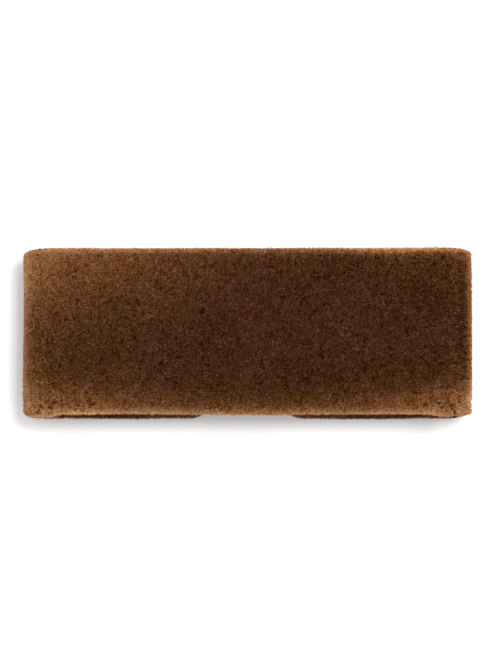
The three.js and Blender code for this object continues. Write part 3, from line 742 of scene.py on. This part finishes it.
def mouth_fringe(name, count, right, up_side, seed):
    """Wool at one end of the loop's mouth. Where the strip folds, strands lean over its edge from both sides and close the mouth's narrow end in small curls."""
    rng = np.random.default_rng(seed)
    n = count
    sel = ROUTE["part"] == (3 if right else 1)
    r_lo, r_hi = ROUTE["run"][sel].min(), ROUTE["run"][sel].max()
    past = 7.5
    run = r_lo + (r_hi - r_lo) * rng.random(n)
    run = np.where(rng.random(n) < 0.4, np.where(rng.random(n) < 0.5, r_lo - past * rng.random(n) ** 1.6, r_hi + past * rng.random(n) ** 1.6), run)
    side = np.full(n, 1.0 if up_side else -1.0)
    over = rng.random(n) < 0.5
    u = np.where(over, 1.7 + 0.9 * rng.random(n), 2.4 + 1.5 * rng.random(n))
    base = wool_surface(run, u, side, np.full(n, 0.9))
    nx, nz = np.interp(run, ROUTE["run"], ROUTE["nx"]), np.interp(run, ROUTE["run"], ROUTE["nz"])
    k = np.hypot(nx, nz)
    inward = np.stack([-nx / k, np.zeros(n), -nz / k], -1)
    beyond = np.maximum(0, np.maximum(r_lo - run, run - r_hi)) / past
    on_front = np.where((run - (r_lo + r_hi) / 2) * (-1 if right else 1) > 0, 1.0, 0.25)
    curl_a, curl_b = noise(run, u * 3, 2.4, seed + 2), noise(run, u * 3, 2.4, seed + 3)
    long = (3.0 + 3.6 * rng.random(n) + 1.2 * curl_a) * (1 - smooth(beyond)) * np.where(over, on_front, 1.0) + 0.8
    to_edge = np.stack([np.zeros(n), side, np.zeros(n)], -1)
    sideways = np.zeros((n, 3)); sideways[:, 0] = rng.normal(0, 0.7, n) + 1.2 * curl_b
    tip = base + inward * long[:, None] + to_edge * (np.where(over, 0.1, 0.8) + 0.8 * rng.random(n) + 0.4 * curl_a)[:, None] + sideways
    tip[:, 2] = np.clip(tip[:, 2], 0.4, None)
    up = to_edge * 0.8 + inward * 0.3
    up /= np.linalg.norm(up, axis=1, keepdims=True)
    face = tone_at(run, np.full(n, 1.2), side)
    own = 0.14 * curl_b + rng.normal(0, 0.11, n)
    grain_sheen_shade = np.clip(np.round(2 * own / GRAIN_STEP) / 2, -1, 1)
    # lifted tone and roots kept pale: painted light against the shade inside the mouth
    tone = np.clip(0.06 + face + own - GRAIN_STEP * grain_sheen_shade, 0.05, 0.97)
    return tuft_mesh(name, base, tip, up, tone, np.full(n, 1.0), grain_sheen_shade, 0.42 * (0.75 + 0.5 * rng.random(n)), rng, True, np.full(n, 0.45))


def outer_at(part_lo, part_hi):
    sel = (ROUTE["part"] >= part_lo) & (ROUTE["part"] <= part_hi)
    return ROUTE["outer"][sel].min(), ROUTE["outer"][sel].max()


undercoat = build_undercoat()
L0, L1 = outer_at(0, 0)
F0, F1 = outer_at(2, 2)
R0, R1 = outer_at(4, 4)
mid = (F0 + F1) / 2
FOLD_OVER = 10.0
fur = [
    tufts("wool_front_left", 47000, F0 - 4, mid, 0, 1.35, 101),
    tufts("wool_front_right", 47000, mid, F1 + 4, 0, 1.35, 202),
    tufts("wool_left_fold", 15000, L1 - FOLD_OVER, F0 - 4, 0, 4.0, 303, reach=-0.45, stray=0.02),
    tufts("wool_right_fold", 15000, F1 + 4, R0 + FOLD_OVER, 0, 4.0, 404, stray=0.02),
    tufts("wool_front_rim", 14500, F0 - 4, F1 + 4, 1.25, 4.0, 505, bent=True, width=0.44, lean=0.45, stray=0.01),
    tufts("wool_left_wing", 19500, L0, L1 - FOLD_OVER, 0, 4.0, 606, width=0.60),
    tufts("wool_right_wing", 19500, R0 + FOLD_OVER, R1, 0, 4.0, 707, width=0.60),
] + [mouth_fringe(f"wool_mouth_{a}_{b}", 1000, a == "right", b == "upper", seed) for a, b, seed in (("left", "lower", 811), ("left", "upper", 822), ("right", "lower", 833), ("right", "upper", 844))]

# ---------------------------------------------------------------- the sheepskin: one strip, suede inside
SKIN_ROUTE = make_route(WING_END + PAST)


def build_skin():
    run_end = SKIN_ROUTE["run"][-1]
    runs = np.unique(np.concatenate([np.linspace(0, 4, 9), np.linspace(4, run_end - 4, 200), np.linspace(run_end - 4, run_end, 9)]))
    get = lambda key: np.interp(runs, SKIN_ROUTE["run"], SKIN_ROUTE[key])
    x, z, nx, nz = get("x"), get("z"), get("nx"), get("nz")
    k = np.hypot(nx, nz); nx, nz = nx / k, nz / k
    top, bottom, _ = outline(np.interp(runs, [0, run_end], [3, RUN_END - 3]))
    t = np.minimum(1, np.minimum(runs, run_end - runs) / 4)
    inset = 4 * (1 - np.sqrt(np.maximum(0, 1 - (1 - t) ** 2)))
    top, bottom = top - PAST - inset, bottom - PAST - inset
    # ring: across share and out, with slightly rounded cut edges
    e = 0.35
    prof = [(-1, e), (-1, SKIN - e), ("b", SKIN)] + [(s, SKIN) for s in np.linspace(-0.94, 0.94, 25)] + [("t", SKIN), (1, SKIN - e), (1, e), ("t", 0)] + [(s, 0) for s in np.linspace(0.94, -0.94, 25)] + [("b", 0)]
    ring_y, ring_o = [], []
    for s, o in prof:
        if s == "b":
            y = -bottom + e
        elif s == "t":
            y = top - e
        else:
            y = np.where(s < 0, s * bottom, s * top) if abs(s) == 1 or s != 0 else 0 * top
        ring_y.append(np.broadcast_to(y, runs.shape)); ring_o.append(np.full(len(runs), float(o)))
    Y, O = np.stack(ring_y, 1), np.stack(ring_o, 1)
    RR = np.broadcast_to(runs[:, None], Y.shape)
    # the suede isn't quite flat: soft cockles, always outward from the hollow so that the wall keeps clear of it
    cockle = 0.14 * (1 + fbm(RR, Y, 26, 55, 2)) * (O < SKIN / 2)
    O = np.clip(O + cockle * (np.abs(Y) < 44), 0, SKIN)
    P = np.stack([x[:, None] + nx[:, None] * O, Y + Y_SHIFT, z[:, None] + nz[:, None] * O], -1)
    ns, nu = Y.shape
    idx = np.arange(ns * nu).reshape(ns, nu)
    a, b = idx[:-1], idx[1:]
    quads = np.stack([a, b, np.roll(b, -1, 1), np.roll(a, -1, 1)], -1).reshape(-1, 4)
    verts = P.reshape(-1, 3)
    caps = []
    for row, flip in ((0, False), (ns - 1, True)):
        c = len(verts)
        verts = np.vstack([verts, P[row].mean(0)])
        tri = np.stack([idx[row], np.roll(idx[row], -1), np.full(nu, c)], -1)
        caps.append(tri[:, ::-1] if flip else tri)
    return mesh_object("suede_skin", verts, np.concatenate(caps), quads, True, ring_uv(ns, nu, caps), None, [SUEDE_MAT])


skin = build_skin()

# ---------------------------------------------------------------- the elastic and its stitches
EL_X, EL_Y, EL_T = band_hi.x / MM, (band_hi.y - band_lo.y) / 2 / MM, (band_hi.z - band_lo.z) / MM
EL_Z = band_lo.z / MM


def build_elastic():
    nx_, ny_ = 150, 52
    xs = np.linspace(-EL_X, EL_X, nx_)
    ys = np.linspace(-1, 1, ny_)
    X, V = np.meshgrid(xs, ys, indexing="ij")
    corner = 2.0
    e = np.maximum(0, np.abs(X) - (EL_X - corner)) / corner
    half = EL_Y - corner * (1 - np.sqrt(np.maximum(0, 1 - e ** 2)))
    # drawn in a little between the wings, as a stretched band is
    half = half - 0.9 * smooth((WING_END + 6 - np.abs(X)) / 16)
    Y = V * half
    edge = smooth((1 - np.abs(V)) * half / 1.1) * smooth((EL_X - np.abs(X)) / 0.8)
    rib = 0.5 + 0.5 * np.cos(2 * math.pi * X / 2.1 + 0.5 * np.sin(Y * 0.9))
    cord = 0.5 + 0.5 * np.cos(2 * math.pi * Y / 1.45)
    skin_t = 0.55 + 0.28 * rib + 0.14 * cord
    sag = -0.25 * smooth((WING_END + 3 - np.abs(X)) / 20) * (1 - V ** 2 * 0.5)
    mid_z = EL_Z + EL_T / 2 + sag
    th = (0.25 + skin_t * edge)
    Zt, Zb = mid_z + th * 0.98, mid_z - th * 0.92
    top = np.stack([X, Y + Y_SHIFT, Zt], -1).reshape(-1, 3)
    bot = np.stack([X, Y + Y_SHIFT, Zb], -1).reshape(-1, 3)
    idx = np.arange(nx_ * ny_).reshape(nx_, ny_)
    n = nx_ * ny_
    q1 = np.stack([idx[:-1, :-1], idx[1:, :-1], idx[1:, 1:], idx[:-1, 1:]], -1).reshape(-1, 4)
    q2 = q1[:, ::-1] + n
    ring = np.concatenate([idx[0, :], idx[1:, -1], idx[-1, ::-1][1:], idx[::-1, 0][1:-1]])
    nxt = np.roll(ring, -1)
    q3 = np.stack([ring, nxt, nxt + n, ring + n], -1)
    verts = np.concatenate([top, bot])
    u = (X + EL_X) / (2 * EL_X) * 0.94 + 0.03
    v = (V + 1) / 2 * 0.44 + 0.03
    flat = np.concatenate([np.stack([u, v], -1).reshape(-1, 2), np.stack([u, v + 0.47], -1).reshape(-1, 2)])
    m = len(ring)
    a0, a1 = 0.03 + 0.94 * np.arange(m) / m, 0.03 + 0.94 * (np.arange(m) + 1) / m
    side_uv = np.stack([np.stack([a0, np.full(m, 0.965)], -1), np.stack([a1, np.full(m, 0.965)], -1), np.stack([a1, np.full(m, 0.985)], -1), np.stack([a0, np.full(m, 0.985)], -1)], 1)
    uv = np.concatenate([flat[q1.ravel()], flat[q2.ravel()], side_uv.reshape(-1, 2)])
    return mesh_object("elastic_band", verts, None, np.concatenate([q1, q2, q3]), True, uv, None, [KNIT_MAT])


elastic = build_elastic()


def tube(points, radius, sides=6):
    """A closed tube along a short list of points, in mm."""
    pts = np.asarray(points, float)
    d = np.gradient(pts, axis=0)
    d /= np.maximum(np.linalg.norm(d, axis=1, keepdims=True), 1e-9)
    ref = np.array([0.0, 0.0, 1.0])
    a = np.cross(d, ref)
    bad = np.linalg.norm(a, axis=1) < 0.2
    a[bad] = np.cross(d[bad], np.array([1.0, 0, 0]))
    a /= np.linalg.norm(a, axis=1, keepdims=True)
    b = np.cross(d, a)
    ang = np.arange(sides) * 2 * math.pi / sides
    ring = pts[:, None] + radius * (np.cos(ang)[None, :, None] * a[:, None] + np.sin(ang)[None, :, None] * b[:, None])
    v = np.concatenate([ring.reshape(-1, 3), pts[:1], pts[-1:]])
    m = len(pts)
    idx = np.arange(m * sides).reshape(m, sides)
    q = np.stack([idx[:-1], np.roll(idx[:-1], -1, 1), np.roll(idx[1:], -1, 1), idx[1:]], -1).reshape(-1, 4)
    c0, c1 = m * sides, m * sides + 1
    t0 = np.stack([np.roll(idx[0], -1), idx[0], np.full(sides, c0)], -1)
    t1 = np.stack([idx[-1], np.roll(idx[-1], -1), np.full(sides, c1)], -1)
    return v, q, np.concatenate([t0, t1])


def build_stitches():
    V, Q, T, n = [], [], [], 0
    for sx in (-1, 1):
        for row in (30.2, 35.4):
            ys = np.arange(-EL_Y + 3, EL_Y - 3, 2.6)
            for y in ys:
                x = sx * row
                z = EL_Z + EL_T / 2 + 0.86
                p = [(x, y, z - 0.5), (x, y + 0.25, z + 0.05), (x, y + 0.95, z + 0.16), (x, y + 1.7, z + 0.05), (x, y + 1.95, z - 0.5)]
                v, q, t = tube([(a, b + Y_SHIFT, c) for a, b, c in p], 0.2)
                V.append(v); Q.append(q + n); T.append(t + n); n += len(v)
    verts, quads, tris = np.concatenate(V), np.concatenate(Q), np.concatenate(T)
    ob = mesh_object("elastic_stitches", verts, tris, quads, True, None, None, [THREAD_MAT])
    return ob


stitches = build_stitches()

# ---------------------------------------------------------------- riding: every piece hangs from the root body, and the CAD parts it stands in for are hidden
for o in [undercoat] + fur:
    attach(o, "root")
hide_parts("wool_pile")
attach(skin, "root"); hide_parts("sheepskin")
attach(elastic, "root"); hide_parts("back_elastic")
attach(stitches, "root")

# ---------------------------------------------------------------- floor, light, camera
def build_floor():
    s = 3.0
    me = bpy.data.meshes.new("floor")
    me.from_pydata([(-s, -s, 0), (s, -s, 0), (s, s, 0), (-s, s, 0)], [], [(0, 1, 2, 3)])
    ob = bpy.data.objects.new("floor", me)
    scene.collection.objects.link(ob)
    m, nt, b = new_material("floor_paper")
    b.inputs["Base Color"].default_value = (0.89, 0.89, 0.89, 1)
    b.inputs["Roughness"].default_value = 0.95
    b.inputs["Specular IOR Level"].default_value = 0.0
    me.materials.append(m)


build_floor()

world = bpy.data.worlds.new("studio")
scene.world = world
world.use_nodes = True
world.node_tree.nodes["Background"].inputs[0].default_value = (0.97, 0.985, 1.0, 1)
world.node_tree.nodes["Background"].inputs[1].default_value = 1.0


def aim(ob, at):
    ob.rotation_euler = (Vector(at) - ob.location).to_track_quat("-Z", "Y").to_euler()


key = bpy.data.objects.new("key", bpy.data.lights.new("key", "AREA"))
key.data.shape = "DISK"
key.data.size = 0.95
key.data.energy = 28.5
key.data.color = (1.0, 0.985, 0.96)
key.location = (0.73, 0.33, 1.78)
scene.collection.objects.link(key)
aim(key, (0, 0, 0.02))

cam = bpy.data.objects.new("camera", bpy.data.cameras.new("camera"))
scene.collection.objects.link(cam)
DIST, TILT = 1.4, math.radians(8.0)
cam.location = (0.0014, -DIST * math.sin(TILT), 0.02 + DIST * math.cos(TILT))
aim(cam, (0.0014, 0.0, 0.02))
cam.data.sensor_width = 36
cam.data.lens = 36 * DIST / 0.3842
cam.data.clip_end = 20
scene.camera = cam
scene.view_settings.view_transform = "Standard"
scene.view_settings.look = "None"

print("triangles", {o.name: sum(len(p.vertices) - 2 for p in o.data.polygons) for o in [undercoat, skin, elastic, stitches] + fur})
